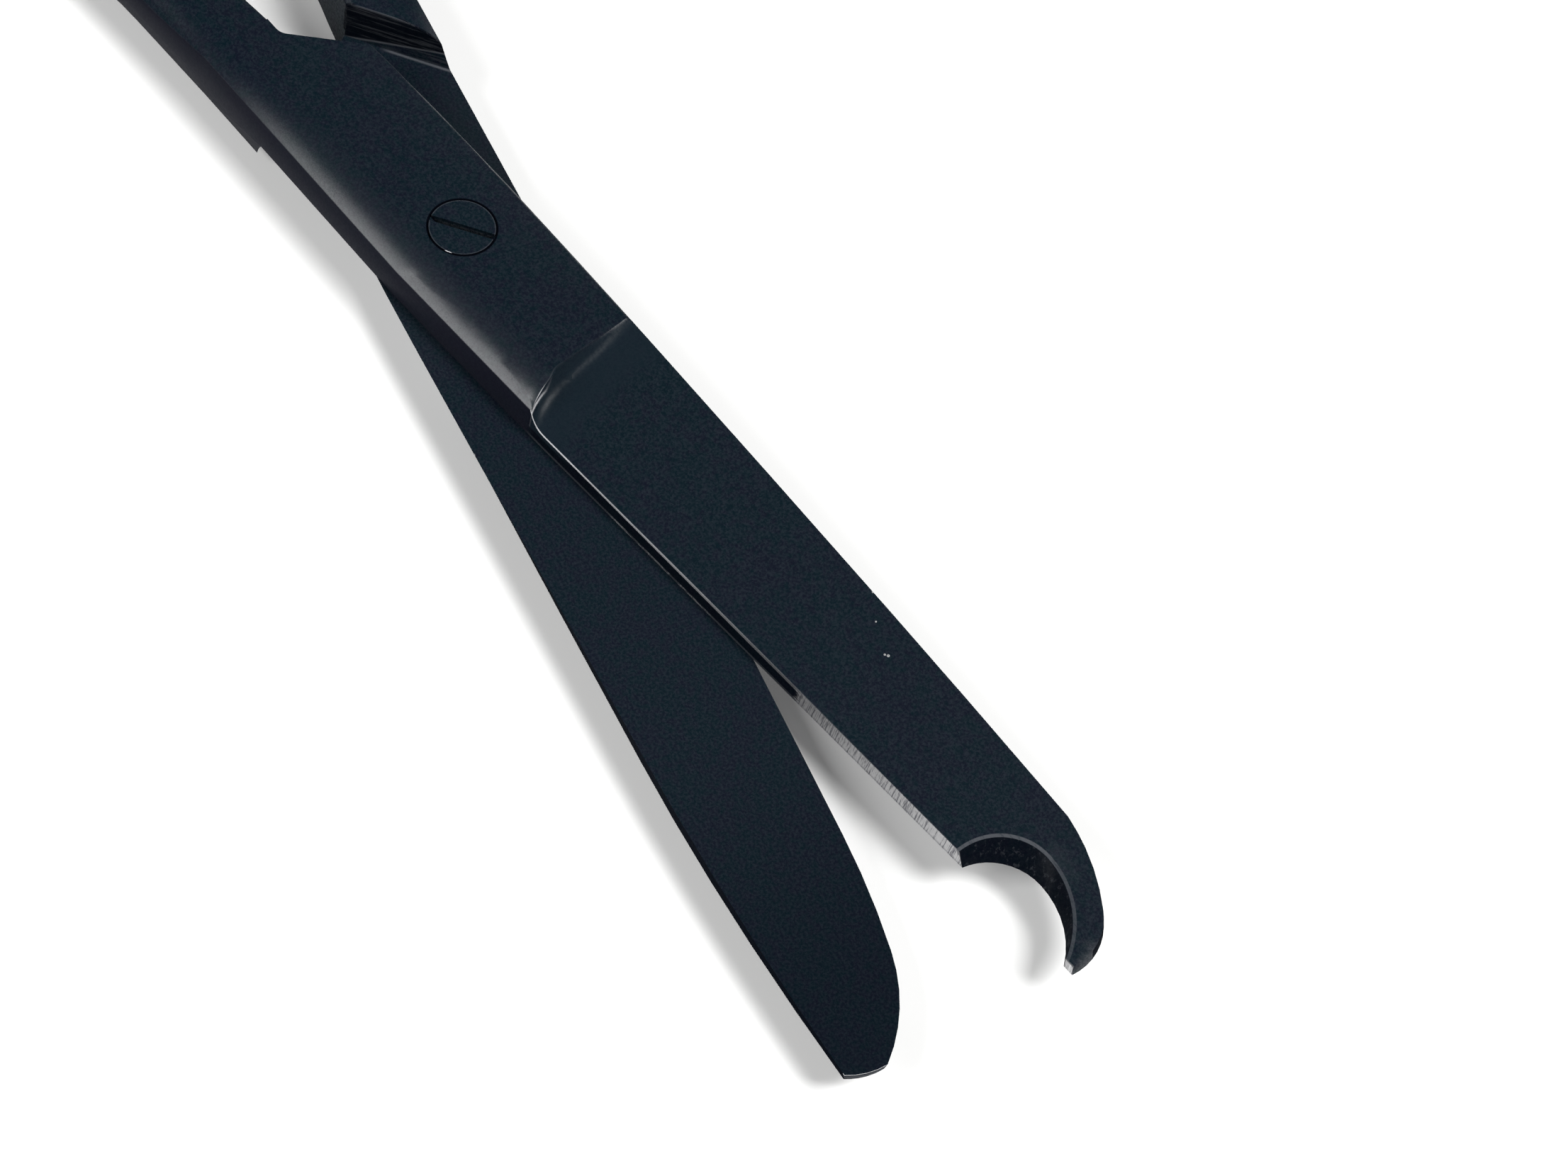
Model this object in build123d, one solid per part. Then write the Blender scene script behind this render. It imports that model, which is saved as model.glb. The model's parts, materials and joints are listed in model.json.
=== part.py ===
"""Suture scissors: a hooked half and a plain half, lapped together on one countersunk pivot screw.

Each half is drawn in its own frame. X runs from the pivot to the tip, +Y to the blade's spine and
-Y to its cutting edge and handle, and Z rises from the plane where the halves meet to the outer face.
The finished part has +X to the tips, Z = 0 under the plain half and the pivot axis through the origin.
"""
import os
from math import cos, radians, sin, sqrt, tan

from build123d import *

# Pose that the halves are kept in
opening = 13.3                 # degrees between the two halves

# Lap joint, common to both halves
half_thickness = 2.2           # meeting plane to outer face
joint_half_width = 4.5         # pivot to the spine side, at the meeting plane
joint_side_fall = 0.55         # how much nearer the spine side is at the shoulder section
handle_side_offset = 4.4       # pivot to the handle side, at the meeting plane
spine_draft = 22.0             # degrees, forged slope of the joint's spine side
edge_draft = 11.0              # degrees, slope of the handle side and of the blades' sides
handle_side_round = 0.95       # top edge of the handle side
spine_side_round = 0.3         # top edge of the spine side

# Oblique shoulder at the back of the lap, and the milled step that it closes against
shoulder_reach = 15.15         # pivot back to where shoulder and step meet the centre line
shoulder_angle = 47.0          # degrees from the half's axis
shoulder_corner_offset = 4.3   # spine side's distance from the axis at the shoulder
shoulder_corner_rise = 0.2     # how much the spine side gains past its rounded corner
shoulder_corner_round = 1.2    # corner between shoulder and spine side
shoulder_root_round = 0.8      # corner between shoulder and shank
step_clearance = 0.12          # gap between shoulder and step when closed
step_run = 2.8                 # how far the milled step runs back as it rises
step_cutter_radius = 3.2       # its concave face

# Blades, common to both halves
spine_start_reach = 5.0        # pivot to where the joint's side becomes the spine
spine_bend_reach = 30.0        # pivot to where the straight spine starts to curve
spine_bend_offset = 3.9        # spine's distance from the axis there
heel_reach = 12.0              # pivot to the heel of the cutting edge
heel_offset = 3.9
crease_reach = 9.1             # pivot to the crease where the outer face's grinding begins, at the spine
crease_lean = 4.0              # degrees that the crease leans to the tip on its way to the edge
crease_turn_offset = 1.6       # past the axis, where the crease starts to curve
crease_turn_radius = 3.9
crease_drop = 72.0             # degrees, how steeply the grinding begins at the edge
spine_runout_length = 0.6      # over which the grinding reaches full depth, at the spine
edge_runout_length = 1.5       # and at the edge
root_edge_thickness = 0.75     # edge at the blade's root, full thickness at its spine
tip_spine_thickness = 0.95     # spine at the blade's tip, and the edge drawn on to there
tip_edge_thickness = 0.53

# Plain tip
plain_reach = 49.66            # pivot to the blunt end, on its belly side
plain_end_high = 2.42          # blunt end, from spine side to belly side
plain_end_low = 0.3
plain_end_lean = 0.28          # how much nearer the blunt end is on its spine side
plain_end_bulge = 0.16         # how far the blunt end bows out
belly_length = 11.66           # blunt end back to where the straight edge starts to curve
belly_offset = 3.19
belly_bend_length = 5.16       # blunt end back to where the belly's curve tightens
belly_bend_offset = 2.52

# Hooked tip
hook_reach = 49.87             # pivot to the hook's end
hook_back_length = 6.22        # hook's end back to the corner where the spine turns into its back
hook_corner_offset = 3.63
hook_corner_turn = 9.0         # degrees that the hook's back starts inwards
hook_tail_length = 1.37        # hook's end back to the point where its back curves more
hook_tail_offset = 1.67
hook_tail_turn = 35.0          # degrees that the back has turned inwards there
hook_end_offset = 1.58         # hook's end, on the cutting side
hook_end_width = 0.71
notch_length = 7.47            # hook's end back to the end of the cutting edge
notch_corner_offset = 2.1
notch_small_radius = 3.0       # notch on the cutting edge's side
notch_large_radius = 4.8       # notch on the hook's side
notch_top_length = 4.47        # hook's end back to the notch's deepest point, at the meeting plane
notch_top_offset = 0.38
notch_lean = 48.0              # degrees that the notch's wall leans outwards
notch_lean_heading = 126.0     # degrees, the way it leans, seen from outside

# Shanks and finger rings
shank_gap = 0.5                # between the closed shanks at the shoulder
ring_gap = 0.9                 # between the closed rings, and between the rear shanks
shoulder_section_reach = 16.5  # pivot back to the last drafted section
shank_section_reach = 26.0     # pivot back to where the shank is fully rounded
shank_width = 4.3
bow_width = 3.9                # ring stock, seen from above
bow_round = 1.85               # rounding of ring and rear shank
ring_hole_length = 24.0
ring_hole_width = 18.0
ring_hole_end_radius = 7.0
ring_reach = 74.0              # pivot back to the ring's centre
ring_tilt = 8.0                # degrees, long axis leaning to the other ring in front
crotch_radius = 6.5            # between shank and ring, outside

# Pivot screw and its holes
head_radius = 1.75
head_lip = 0.1                 # straight rim of the head
head_cone = 0.45               # height of the countersunk cone
bearing_radius = 1.3           # plain shoulder that the hooked half turns on
thread_radius = 1.1
bearing_clearance = 0.04       # running clearance, on the radius
thread_clearance = 0.01
slot_width = 0.34
slot_depth = 0.5
slot_angle = 41.6              # degrees from the part's X axis

spine_slope = tan(radians(spine_draft))
edge_slope = tan(radians(edge_draft))
past = 5.0                     # how far cutting bodies run past the metal
far = 100.0                    # size of cutting bodies that remove a whole side
clear = 0.1                    # how far the grinding's first side profile stands off the metal
crease_steps = 4               # straight pieces that the crease's curve is made in


def lap_plan(height, tip_edges):
    """Outline of joint and blade at a height over the meeting plane, drawn in by the drafts."""
    spine_in = height * spine_slope
    edge_in = height * edge_slope
    spine_start = Vector(spine_start_reach, joint_half_width - spine_in)
    spine_bend = Vector(spine_bend_reach, spine_bend_offset - edge_in)
    shoulder_side = Vector(-shoulder_section_reach, joint_half_width - joint_side_fall - spine_in)
    heel = Vector(heel_reach, -heel_offset + edge_in)
    handle_front = Vector(0, -handle_side_offset + edge_in)
    handle_rear = Vector(-shoulder_section_reach, -handle_side_offset + edge_in)
    spine = Line(spine_start, spine_bend)
    joint_side = TangentArc(spine_start, shoulder_side, tangent=-(spine % 0))
    edge_end, tip = tip_edges(spine_bend, spine % 1, heel, edge_in)
    outline = [spine, joint_side, *tip, Line(edge_end, heel), Line(heel, handle_front)]
    outline += [Line(handle_front, handle_rear), Line(handle_rear, shoulder_side)]
    return Pos(0, 0, height) * make_face(outline)


def plain_tip(spine_end, spine_direction, heel, edge_in):
    """Curved spine, blunt bowed end and curved belly; also gives the end of the straight edge."""
    end_high = Vector(plain_reach - plain_end_lean - edge_in, plain_end_high - edge_in)
    end_low = Vector(plain_reach - edge_in, plain_end_low)
    end_middle = (end_high + end_low) / 2 + Vector(plain_end_bulge, 0)
    belly_bend = Vector(plain_reach - belly_bend_length, -belly_bend_offset + edge_in)
    edge_end = Vector(plain_reach - belly_length, -belly_offset + edge_in)
    back = TangentArc(spine_end, end_high, tangent=spine_direction)
    blunt_end = ThreePointArc(end_high, end_middle, end_low)
    belly_start = TangentArc(edge_end, belly_bend, tangent=edge_end - heel)
    belly_end = TangentArc(belly_bend, end_low, tangent=belly_start % 1)
    return edge_end, [back, blunt_end, belly_end, belly_start]


def hooked_tip(spine_end, spine_direction, heel, edge_in):
    """Curved spine, corner and the hook's back in two arcs; the notch is ground out later."""
    corner = Vector(hook_reach - hook_back_length, hook_corner_offset - edge_in)
    tail_turn = radians(hook_tail_turn)
    inwards = Vector(-sin(tail_turn), -cos(tail_turn))
    tail_start = Vector(hook_reach - hook_tail_length, hook_tail_offset) + inwards * edge_in
    end = Vector(hook_reach - edge_in, -hook_end_offset)
    end_inner = end - Vector(hook_end_width, 0)
    edge_end = Vector(hook_reach - notch_length, -notch_corner_offset + edge_in)
    turn = radians(hook_corner_turn)
    back = TangentArc(spine_end, corner, tangent=spine_direction)
    hook_start = TangentArc(corner, tail_start, tangent=Vector(cos(turn), -sin(turn)))
    hook_tail = TangentArc(tail_start, end, tangent=hook_start % 1)
    return edge_end, [back, hook_start, hook_tail, Line(end, end_inner), Line(end_inner, edge_end)]


def forged_lap(tip_edges):
    """Joint and blade at full thickness, with drafted sides and rounded long edges."""
    block = loft([lap_plan(0, tip_edges), lap_plan(half_thickness, tip_edges)], ruled=True)
    top = block.faces().sort_by(Axis.Z)[-1].edges()
    handle_edges = [edge for edge in top if edge.center().Y < -2 and edge.center().X < heel_reach]
    block = fillet(handle_edges, handle_side_round)
    top = block.faces().sort_by(Axis.Z)[-1].edges()
    spine_edges = [edge for edge in top if edge.center().Y > 2 and edge.center().X < spine_bend_reach]
    return fillet(spine_edges, spine_side_round)


def grinding_profile(offset):
    """Side view of what is ground off the outer face, at an offset from the axis."""
    across = joint_half_width - offset
    share = across / (joint_half_width + heel_offset)
    past_turn = max(0, -crease_turn_offset - offset)
    curve = crease_turn_radius - sqrt(crease_turn_radius ** 2 - past_turn ** 2)
    crease = crease_reach + across * tan(radians(crease_lean)) + curve
    full_reach = crease + spine_runout_length + (edge_runout_length - spine_runout_length) * share
    end_reach = plain_reach + past
    root = half_thickness + (root_edge_thickness - half_thickness) * share
    tip = tip_spine_thickness + (tip_edge_thickness - tip_spine_thickness) * share
    fall = (root - tip) / (plain_reach - crease_reach)
    drop = fall + tan(radians(crease_drop)) * share
    start = (crease, half_thickness)
    full = (full_reach, root - fall * (full_reach - crease_reach))
    end = (end_reach, root - fall * (end_reach - crease_reach))
    runout = Spline(start, full, tangents=[(1, -drop), (1, -fall)])
    rest = Polyline(full, end, (end_reach, half_thickness + past), (crease, half_thickness + past), start)
    return Plane((0, offset, 0), x_dir=(1, 0, 0), z_dir=(0, -1, 0)) * make_face([runout, *rest.edges()])


def face_grinding():
    """What is ground off the outer face: nothing at the spine's root, most along the edge."""
    edge_side = -handle_side_offset
    curved = -crease_turn_offset - edge_side
    offsets = [joint_half_width + clear]
    offsets += [-crease_turn_offset - curved * step / crease_steps for step in range(crease_steps + 1)]
    return loft([grinding_profile(offset) for offset in offsets], ruled=True)


def notch_cutter():
    """The crescent that is ground out behind the hook, swept along its leaning wall."""
    top = Vector(hook_reach - notch_top_length, notch_top_offset)
    left = top + Vector(-notch_small_radius, -notch_small_radius)
    small_centre = top - Vector(0, notch_small_radius)
    left_middle = small_centre + Vector(-1, 1).normalized() * notch_small_radius
    large_centre = top - Vector(0, notch_large_radius)
    right = large_centre + Vector(notch_large_radius, 0)
    right_middle = large_centre + Vector(1, 1).normalized() * notch_large_radius
    down = Vector(0, -past)
    outline = [ThreePointArc(left, left_middle, top), ThreePointArc(top, right_middle, right)]
    outline += [Line(right, right + down), Line(right + down, left + down), Line(left + down, left)]
    lean, heading = radians(notch_lean), radians(notch_lean_heading)
    wall = Vector(sin(lean) * cos(heading), sin(lean) * sin(heading), cos(lean))
    profile = Pos(*(wall * -past)) * make_face(outline)
    return extrude(profile, amount=3 * past, dir=wall)


def shoulder_cutter():
    """Clears the far side of the shank, back from the oblique shoulder, and rounds its corner."""
    slope = tan(radians(shoulder_angle))
    inner = -shank_gap / 2
    root = Vector(-shoulder_reach + inner / slope, inner)
    corner = Vector(-shoulder_reach + shoulder_corner_offset / slope, shoulder_corner_offset)
    ahead = corner + Vector(3 * shoulder_corner_round, shoulder_corner_rise)
    rear = Vector(-shoulder_section_reach - past, inner)
    away = Vector(0, past)
    plan = make_face(Polyline(root, corner, ahead, ahead + away, rear + away * 2, rear, close=True))
    for place, radius in ((root, shoulder_root_round), (corner, shoulder_corner_round)):
        plan = fillet(plan.vertices().sort_by_distance(place)[0], radius)
    return Pos(0, 0, -half_thickness - past) * extrude(plan, amount=2 * (half_thickness + past))


def lap_cutter():
    """Takes away the far half of the thickness in front of the oblique, concave step."""
    along = Vector(cos(radians(shoulder_angle)), -sin(radians(shoulder_angle)))
    ahead = Vector(-along.Y, along.X)
    origin = Vector(-shoulder_reach, 0) - ahead * step_clearance
    profile_plane = Plane(origin - along * far, x_dir=ahead, z_dir=along)
    deep = half_thickness * (profile_plane.y_dir.Z / abs(profile_plane.y_dir.Z)) * -1
    wall = RadiusArc((0, 0), (-step_run, deep), step_cutter_radius * (1 if deep < 0 else -1))
    below = Line((-step_run, deep), (-step_run, 2 * deep))
    rest = Polyline((-step_run, 2 * deep), (far, 2 * deep), (far, 0), (0, 0))
    return extrude(profile_plane * make_face([wall, below, *rest.edges()]), amount=2 * far)


def shank_section(reach, outer, inner, draft, outer_round, inner_round):
    """Section through a shank, widest at the meeting plane on its outer side."""
    top_outer = outer + half_thickness * draft
    corners = [(outer, 0), (top_outer, half_thickness), (inner, half_thickness),
               (inner, -half_thickness), (top_outer, -half_thickness)]
    face = make_face(Polyline(*corners, close=True))
    for side, radius in ((top_outer, outer_round), (inner, inner_round)):
        for height in (half_thickness, -half_thickness):
            corner = face.vertices().sort_by_distance(Vector(side, height))[0]
            face = fillet(corner, radius)
    return Plane((-reach, 0, 0), x_dir=(0, 1, 0), z_dir=(1, 0, 0)) * face


def oval(length, width, end_radius):
    """An oval of four tangent arcs."""
    side_radius = oval_side_radius(length, width, end_radius)
    end_centre = length / 2 - end_radius
    side_centre = side_radius - width / 2
    to_end = Vector(end_centre, side_centre).normalized()
    joint = Vector(0, -side_centre) + to_end * side_radius
    x, y = joint.X, joint.Y
    return make_face([ThreePointArc((x, -y), (length / 2, 0), (x, y)),
                      ThreePointArc((x, y), (0, width / 2), (-x, y)),
                      ThreePointArc((-x, y), (-length / 2, 0), (-x, -y)),
                      ThreePointArc((-x, -y), (0, -width / 2), (x, -y))])


def oval_side_radius(length, width, end_radius):
    end_centre = length / 2 - end_radius
    return (end_centre ** 2 + (width / 2) ** 2 - end_radius ** 2) / (width - 2 * end_radius)


def ring_and_rear_shank():
    """Finger ring and rounded shank, drawn in plan, raised and rounded all along."""
    outer_length = ring_hole_length + 2 * bow_width
    outer_width = ring_hole_width + 2 * bow_width
    outer_end = ring_hole_end_radius + bow_width
    side_radius = oval_side_radius(outer_length, outer_width, outer_end)
    side_centre = side_radius - outer_width / 2
    tilt = radians(ring_tilt)
    inner = -ring_gap / 2
    centre_y = inner - side_radius + side_centre * cos(tilt)
    place = Pos(-ring_reach, centre_y) * Rot(0, 0, ring_tilt)
    touch = -ring_reach + side_centre * sin(tilt)
    front = -shank_section_reach
    outer = inner - shank_width
    strip = make_face(Polyline((front, inner), (front, outer), (touch, outer), (touch, inner), close=True))
    plan = place * oval(outer_length, outer_width, outer_end) + strip
    crotch = [vertex for vertex in plan.vertices() if touch < vertex.X < front - 1 and vertex.Y < inner - 1]
    crotch = sorted(crotch, key=lambda vertex: -vertex.Y)[:1]
    plan = fillet(crotch, crotch_radius)
    plan = plan - place * oval(ring_hole_length, ring_hole_width, ring_hole_end_radius)
    handle = Pos(0, 0, -half_thickness) * extrude(plan, amount=2 * half_thickness)
    rims = [edge for edge in handle.edges() if abs(edge.center().Z) > half_thickness - 0.01
            and abs(edge.center().X - front) > 0.01]
    return fillet(rims, bow_round)


def half(tip_edges):
    """One half in its own frame, without its screw hole."""
    lap = forged_lap(tip_edges)
    behind = Pos(-far / 2 - shoulder_reach / 2, 0, 0) * Box(far, far, far)
    underside = mirror(lap, Plane.XY) & behind
    inner = -shank_gap / 2
    drafted = shank_section(shoulder_section_reach, -handle_side_offset, inner, edge_slope,
                            handle_side_round, spine_side_round / 2)
    rounded = shank_section(shank_section_reach, -ring_gap / 2 - shank_width, -ring_gap / 2, 0,
                            bow_round, bow_round)
    shank = loft([rounded, drafted], ruled=True)
    body = lap + underside - shoulder_cutter()
    body = body + shank + ring_and_rear_shank()
    return body - lap_cutter() - face_grinding()


def turned(profile):
    """A solid of revolution about the pivot axis from radius and height points."""
    return revolve(Plane.XZ * make_face(Polyline(*profile, close=True)), axis=Axis.Z)


def screw_profile(gap, top, end):
    """Half section of the screw, or of the hole that takes it with a gap."""
    joint_top = 2 * half_thickness
    rim = joint_top - head_lip
    neck = rim - head_cone * (1 + gap / (head_radius - bearing_radius))
    return [(0, end), (thread_radius + min(gap, thread_clearance), end),
            (thread_radius + min(gap, thread_clearance), half_thickness),
            (bearing_radius + gap, half_thickness), (bearing_radius + gap, neck),
            (head_radius + gap, rim), (head_radius + gap, top), (0, top)]


def pivot_screw():
    """Countersunk shoulder screw with a driver slot."""
    joint_top = 2 * half_thickness
    body = turned(screw_profile(0, joint_top, 0))
    slot = Pos(0, 0, joint_top) * Rot(0, 0, slot_angle) * Box(4 * head_radius, slot_width, 2 * slot_depth)
    return body - slot


def main():
    os.makedirs("parts", exist_ok=True)
    hole = turned(screw_profile(bearing_clearance, 2 * half_thickness + past, -past))
    meeting = Pos(0, 0, half_thickness)
    hooked = meeting * Rot(0, 0, opening / 2) * (half(hooked_tip) - notch_cutter())
    plain = meeting * Rot(0, 0, -opening / 2) * Rot(180, 0, 0) * half(plain_tip)
    parts = {"hooked_half": hooked - hole, "plain_half": plain - hole, "pivot_screw": pivot_screw()}
    for name, shape in parts.items():
        shape.label = name
        export_step(shape, f"parts/{name}.step")


main()
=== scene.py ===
"""Suture scissors in black coated steel, lying part open on a white table."""
import json
from math import atan2, cos, radians, sin, sqrt, tan

import bmesh
import bpy
from mathutils import Matrix, Vector


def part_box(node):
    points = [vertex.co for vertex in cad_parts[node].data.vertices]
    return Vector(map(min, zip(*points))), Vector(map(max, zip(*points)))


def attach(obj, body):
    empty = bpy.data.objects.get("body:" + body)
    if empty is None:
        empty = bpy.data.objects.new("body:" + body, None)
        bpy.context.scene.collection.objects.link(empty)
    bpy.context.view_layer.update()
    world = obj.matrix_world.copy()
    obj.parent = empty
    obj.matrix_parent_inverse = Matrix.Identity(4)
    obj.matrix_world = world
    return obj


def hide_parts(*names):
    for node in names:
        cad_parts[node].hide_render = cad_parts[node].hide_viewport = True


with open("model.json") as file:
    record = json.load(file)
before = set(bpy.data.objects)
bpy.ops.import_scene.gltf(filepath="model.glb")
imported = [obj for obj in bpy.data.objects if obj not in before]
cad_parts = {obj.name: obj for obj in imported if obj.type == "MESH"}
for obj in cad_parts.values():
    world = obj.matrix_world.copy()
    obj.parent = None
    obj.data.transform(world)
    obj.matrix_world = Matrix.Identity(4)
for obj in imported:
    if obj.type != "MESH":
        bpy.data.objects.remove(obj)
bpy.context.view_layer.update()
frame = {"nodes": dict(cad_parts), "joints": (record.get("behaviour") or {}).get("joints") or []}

MM = 0.001                      # the frame is in metres, the details below in millimetres
PIVOT = frame["joints"][0]
HALF_OPENING = -PIVOT["range_deg"][0] / 2      # degrees each half is turned from the axis at rest
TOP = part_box("pivot_screw")[1].z / MM          # outer face of the upper half
MEETING = TOP / 2                              # plane where the halves meet

# Camera
CAMERA_PLACE = (107.246 * MM, -76.516 * MM, 177.948 * MM)
CAMERA_AIM = (24.034 * MM, 4.829 * MM, 0)
CAMERA_ROLL = 13.686            # degrees
CAMERA_LENS = 97.65
SENSOR_WIDTH = 36
CLIP_START = 0.01

# Room, in metres
TABLE_SIZE = 3
TABLE_FADE = (0.12, 0.4)        # the table's shadows fade to plain white between these
TABLE_GLOW = 0.1                # share of plain white near the scissors
HORIZON = (0.30, 0.05)          # the room is dark above the first height and white below the second
LAMP_AIM = (0.02, 0, 0)
LAMP_DISTANCE = 1.2

# Colours
COATING_TEAL = (0.0022, 0.0080, 0.0122, 1)
COATING_VIOLET = (0.0044, 0.0062, 0.0128, 1)
COATING_SPECK = (0.0130, 0.0190, 0.0260, 1)
# grey of worn coating, also used for painted highlight lines
WORN_AND_HIGHLIGHT_GREY = (0.0750, 0.0800, 0.0900, 1)
COATING_MATT = (0.0080, 0.0135, 0.0190, 1)
# painted reflection tint for the handle side's wall
WALL_REFLECTION_TINT = (0.0068, 0.0068, 0.0120, 1)
# light grey for worn rims, also used for painted highlights and a painted glint
RIM_WEAR_AND_HIGHLIGHT = (0.80, 0.80, 0.82, 1)
FLECK_STEEL = (0.85, 0.85, 0.85, 1)
BARE_STEEL = (0.50, 0.50, 0.51, 1)
STEEL_SHADE = (0.16, 0.16, 0.18, 1)
# painted shade for dark walls, steep faces, the screw's gap and the blade's tip
PAINTED_SHADE = (0.0015, 0.002, 0.004, 1)
WHITE = (1, 1, 1, 1)
TABLE_WHITE = (0.95, 0.95, 0.94, 1)
DARK_ROOM = (0.06, 0.06, 0.06, 1)

# A half in its own frame: along the blade, out from its axis, up from the meeting plane
THICKNESS = MEETING
SPINE = 4.5
HANDLE_SIDE = -4.4              # handle side of the joint, at the meeting plane
SHANK_SIDE = -4.75              # handle side of the rear shank
SHANK_START = -16.5
SHANK_END = -26.0               # from here back the shank is fully rounded
HEEL = (12.0, -3.9)
EDGE_END = {"hooked": (42.4, -2.1), "plain": (38.2, -3.19)}
DRAFT = radians(11)             # slope of the handle side and of the cutting side
EDGE_LEAN = tan(DRAFT)
TIP_REACH = 40                  # what lies past here belongs to the tip

# Crease where the outer face's grinding begins
CREASE_REACH = 9.1
CREASE_LEAN = tan(radians(4))
CREASE_TURN = -1.6              # out from the axis, where it starts to curve
CREASE_RADIUS = 3.9
CREASE_BEND = (-1.2, -2.4)      # the crown moves it along the blade between these
CREASE_SHIFT = 0.4
MATT_RUNOUT = (1.8, 3.6)        # the matt stretch ends between these, from the crease

# Top of the cutting side's wall: it falls from the crown in a curve, and then slowly to the tip
EDGE_CREASE = 10.9              # where the crease meets the cutting side
ROOT_EDGE = 0.76                # edge thickness there
EDGE_FALL = 0.0054
CORNER_START = 10.35
CORNER_LENGTH = 1.5
CORNER_RISE = 1.08
CORNER_CURVE = 2.4

# Wear of the cutting side, and the painted highlight on its rim
RIM_FADE = (12, 17)             # the rim's wear and painted highlight get fainter between these
RIM_END = (17, 30)              # and fainter again
CHIPS = (17.5, 24)
SILVER_REACH = 31.6             # past here the coating is off, along a ragged line
SILVER_RAGGED = 1.5

# Shine of the handle side and the spine side
CROWN_BAND = (1.0, 2.3)         # the crown's shine ends between these, in from the wall
SHINE_RISE = (-15.5, -7.5)
SHINE_PEAK = (-8, -2)
STREAK_RISE = (-4, 9)
LOWER_WALL = (1.4, -1.0)
GLOW_ACROSS = (0.5, 4.5)
GLOW_REAR = (-16, -11)
GLOW_FRONT = (5, 9)

# Crescent notch: deepest point, arcs on the blade's and the hook's side, and its wall's lean
NOTCH_TOP = (45.4, 0.38)
BLADE_ARC = 3.0
HOOK_ARC = 4.8
NOTCH_LEAN = tan(radians(48))
NOTCH_HEADING = radians(126)
NOTCH_START = 41
NOTCH_SIDE = 2.6
# a painted sheen on the notch's rim round this place
NOTCH_SHINE = (45.4, 1.9)
NOTCH_SHINE_SIZE = 1.6
NOTCH_LIGHTER_END = 45.2           # the rim's paint is lighter before this

# Small marks: place along and out, radius and strength
FLECKS = ((31.8, 2.0, 0.09, 1), (31.65, 1.9, 0.07, 1), (30.0, 2.7, 0.06, 0.6), (28.65, 3.62, 0.07, 1))
NICK = (11.7, 4.42)
NICK_SIZE = 0.12

# Screw
HEAD_RADIUS = 1.75
SLOT_DEPTHS = (0.7, 0.2)        # the slot's floor lies between these, down from the head
SLOT_REACH = 3.3                # the worn floor ends here, as a square of the radius
# a painted glint on the screw head's rim
GLINT = (0.99, -1.40)
GLINT_SIZE = 0.22

# Milled step: its foot, the round wall of the solid, and the steeper wall that the real one has
STEP_REACH = -15.15
STEP_ANGLE = radians(47)
STEP_FOOT = -0.12
STEP_SPAN = (-20, -9)           # along the half
ROUND_WALL = 3.2
ROUND_CENTRE = (3.043, -0.991)  # behind the foot, and up from the meeting plane
ROUND_RUN = (-0.02, 2.9)        # how far behind the foot its points can lie
WALL_NEAR = 0.05                # how near a point is to the round wall that it belongs to
WALL_RUN = 0.4
WALL_CURVE = 0.7

# Cutter marks, painted shade and painted highlight lines on the step: ahead of its line, up its wall and
# beside its start
MILLED_AHEAD = (-0.62, -0.1)
MILLED_RISE = (0.02, 2.17)
MILLED_SPAN = (-17.5, -9)
PASS_START = 0.44
PASS_RISE = 0.163               # climb of the line that the first cutter pass left on the wall
RIM_RISE = 2.1
RIM_AHEAD = -0.53
RIM_SPAN = (0.4, 3.5)
FOOT_SPAN = (2.3, 6.2)

# Blunt end of the plain half
BLUNT_END = 49.58
BLUNT_LEAN = 0.132
BLUNT_WALL = 48.6               # the blade's wall turns into the blunt end here
# the tip is darkened with painted shade between these
DARKER_TIP = (30, 47)

# Crown of the handle side: the forging's small rounding, and the wider one it wears to
SMALL_ROUND = 0.95
SHANK_ROUND = 1.85
CROWN_START = radians(50)
CROWN_END = radians(90)
CROWN_LIMIT = -1.0              # flat faces move up to here, out from the axis
ARC_NEAR = 0.06                 # how near a point is to the rounding that it belongs to
FLAT_NEAR = 0.02                # and to the outer face
START_NEAR = 0.01               # and to the rounding's lower edge

# Widths of the broken edges
EDGE_WIDTHS = {"plain edge": 0.05, "cutting rim": 0.06, "notch rim": 0.17, "joint rim": 0.1}
WIDEST = 0.2
SHARP = radians(28)

# How faces and edges are told apart: by a part of their normals, or by their place
FACES_UP = 0.9
NOTCH_WALL_UP = (0.45, 0.85)
CUTTING_WALL_OUT = -0.8
JOINT_WALL_OUT = 0.5
JOINT_RIM_START = -14
HOLE_REACH = 2.0                # edges this close to the pivot are the screw hole's
GROUND_UP = 0.5
GROUND_OUT = -0.2
GROUND_SIDE = -1.5
FLANK_UP = 0.75
FLANK_OUT = 0.3
BLUNT_FRONT = 0.7

# Merging of the solids' triangles
SAME_POINT = 0.0005
SAME_PLANE = radians(0.05)
HOLE_ROOM = 3.0                 # flat faces this close to the pivot keep their triangles and places


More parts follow.
